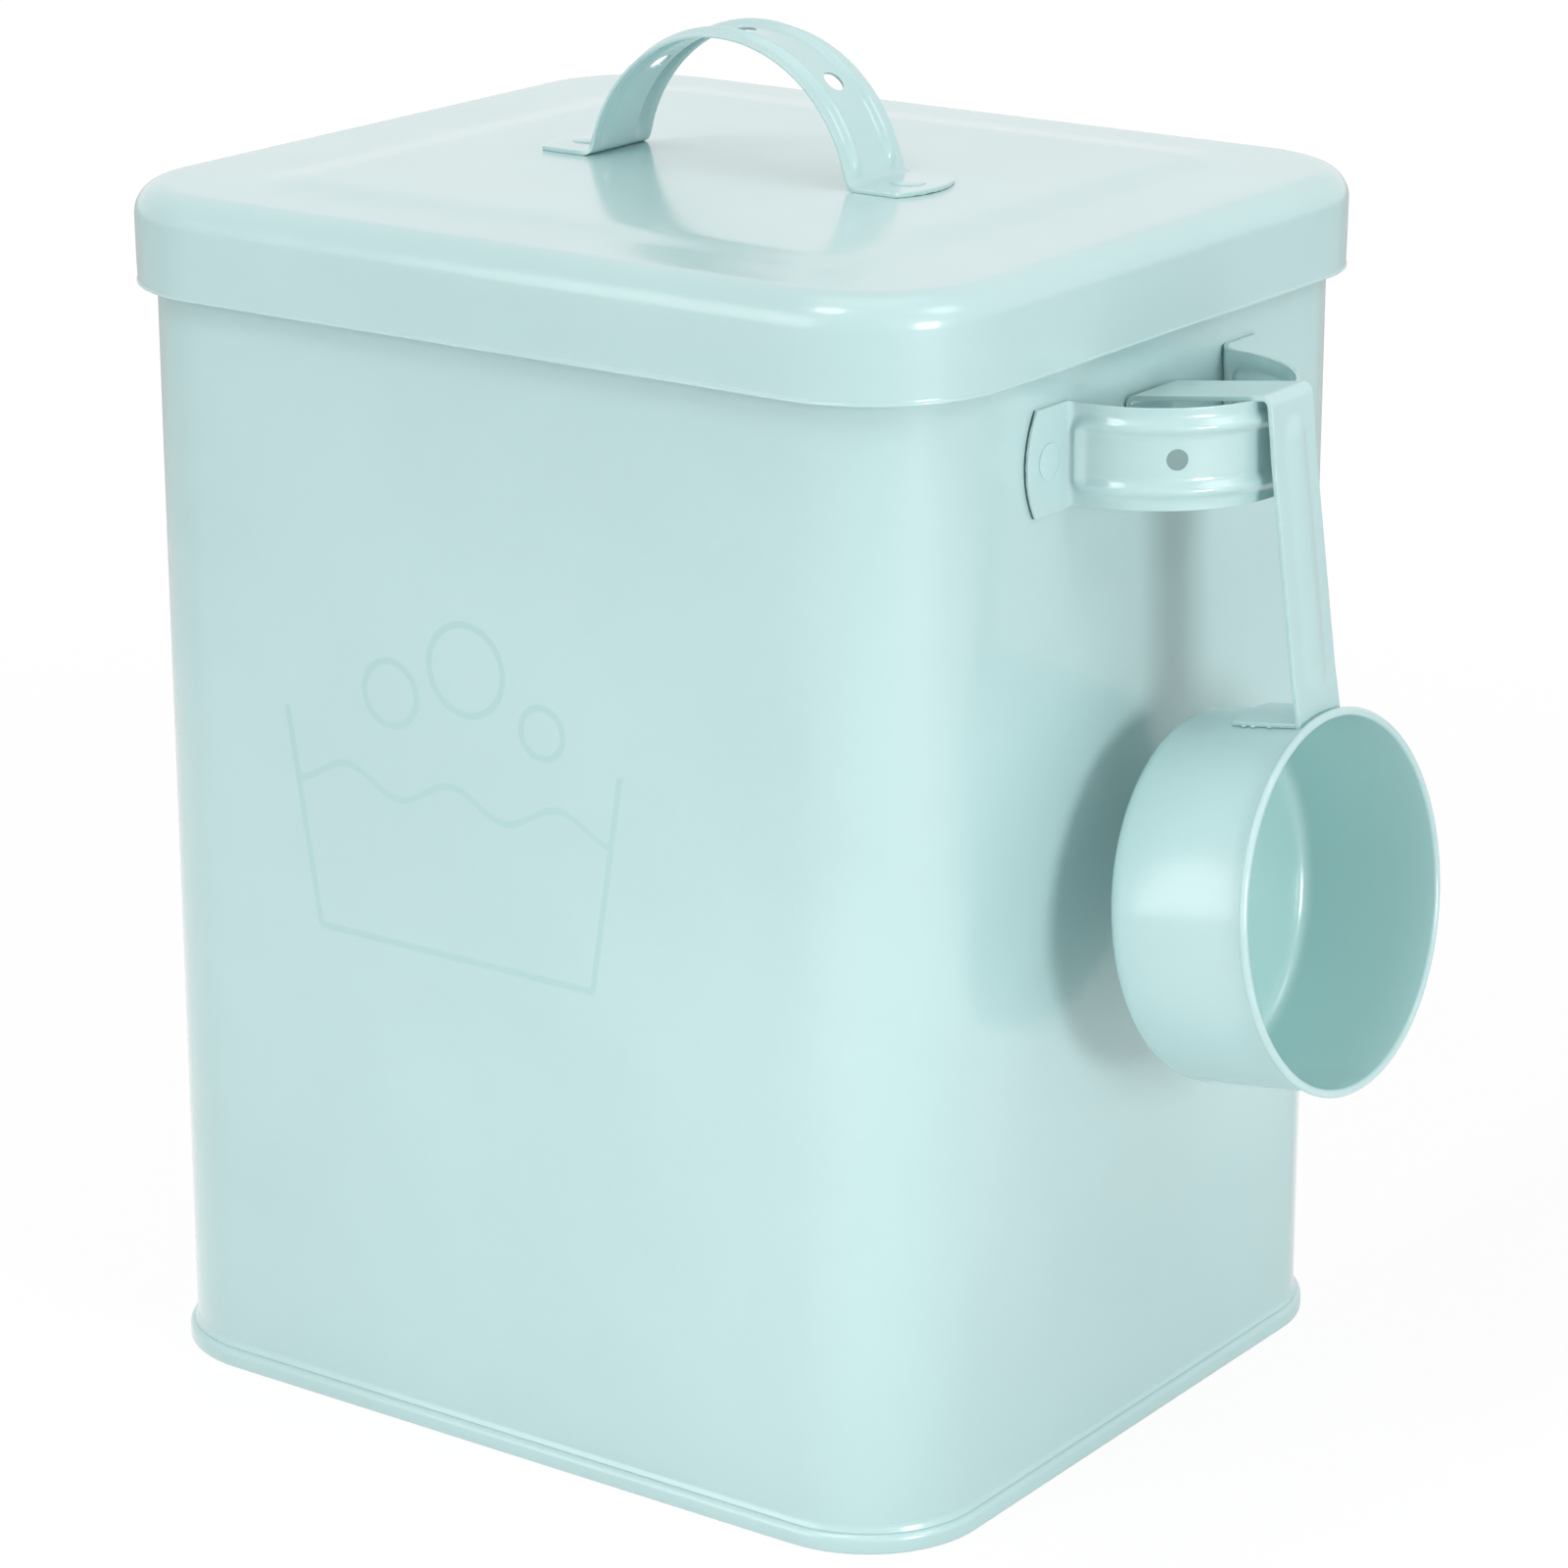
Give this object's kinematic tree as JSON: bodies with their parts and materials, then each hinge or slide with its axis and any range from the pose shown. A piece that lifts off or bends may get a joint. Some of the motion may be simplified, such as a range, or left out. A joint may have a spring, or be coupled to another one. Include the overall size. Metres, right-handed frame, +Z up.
{
  "type": "laundry powder tin",
  "caption": "Rounded rectangular sheet-metal storage tin with a slip-on lid, pressed strap handles on lid and sides, and a round scoop hung on a side handle.",
  "frame": {"origin": "middle of the base seam's ring, on the plane that the tin stands on", "axes": "+Z up, +X to the right wall where the scoop hangs, -Y to the front"},
  "size_m": [0.2606, 0.1668, 0.2633],
  "materials": {
    "tin_coat": "satin powder coat, pale blue-green",
    "handle_coat": "satin powder coat, pale blue-green",
    "scoop_coat": "satin powder coat, pale blue-green"
  },
  "bodies": {
    "tin": {"body_wall": "tin_coat", "base_panel": "tin_coat", "side_handle_right": "handle_coat", "side_handle_left": "handle_coat", "side_handle_rivets": "handle_coat", "scoop_cup": "scoop_coat", "scoop_handle": "scoop_coat"},
    "lid": {"lid_shell": "tin_coat", "lid_handle": "handle_coat", "lid_handle_rivets": "handle_coat"}
  },
  "joints": [
    {"name": "lid_lift", "type": "slide", "parent": "tin", "child": "lid", "axis": [0, 0, 1], "range_m": [0, 0.08]}
  ]
}
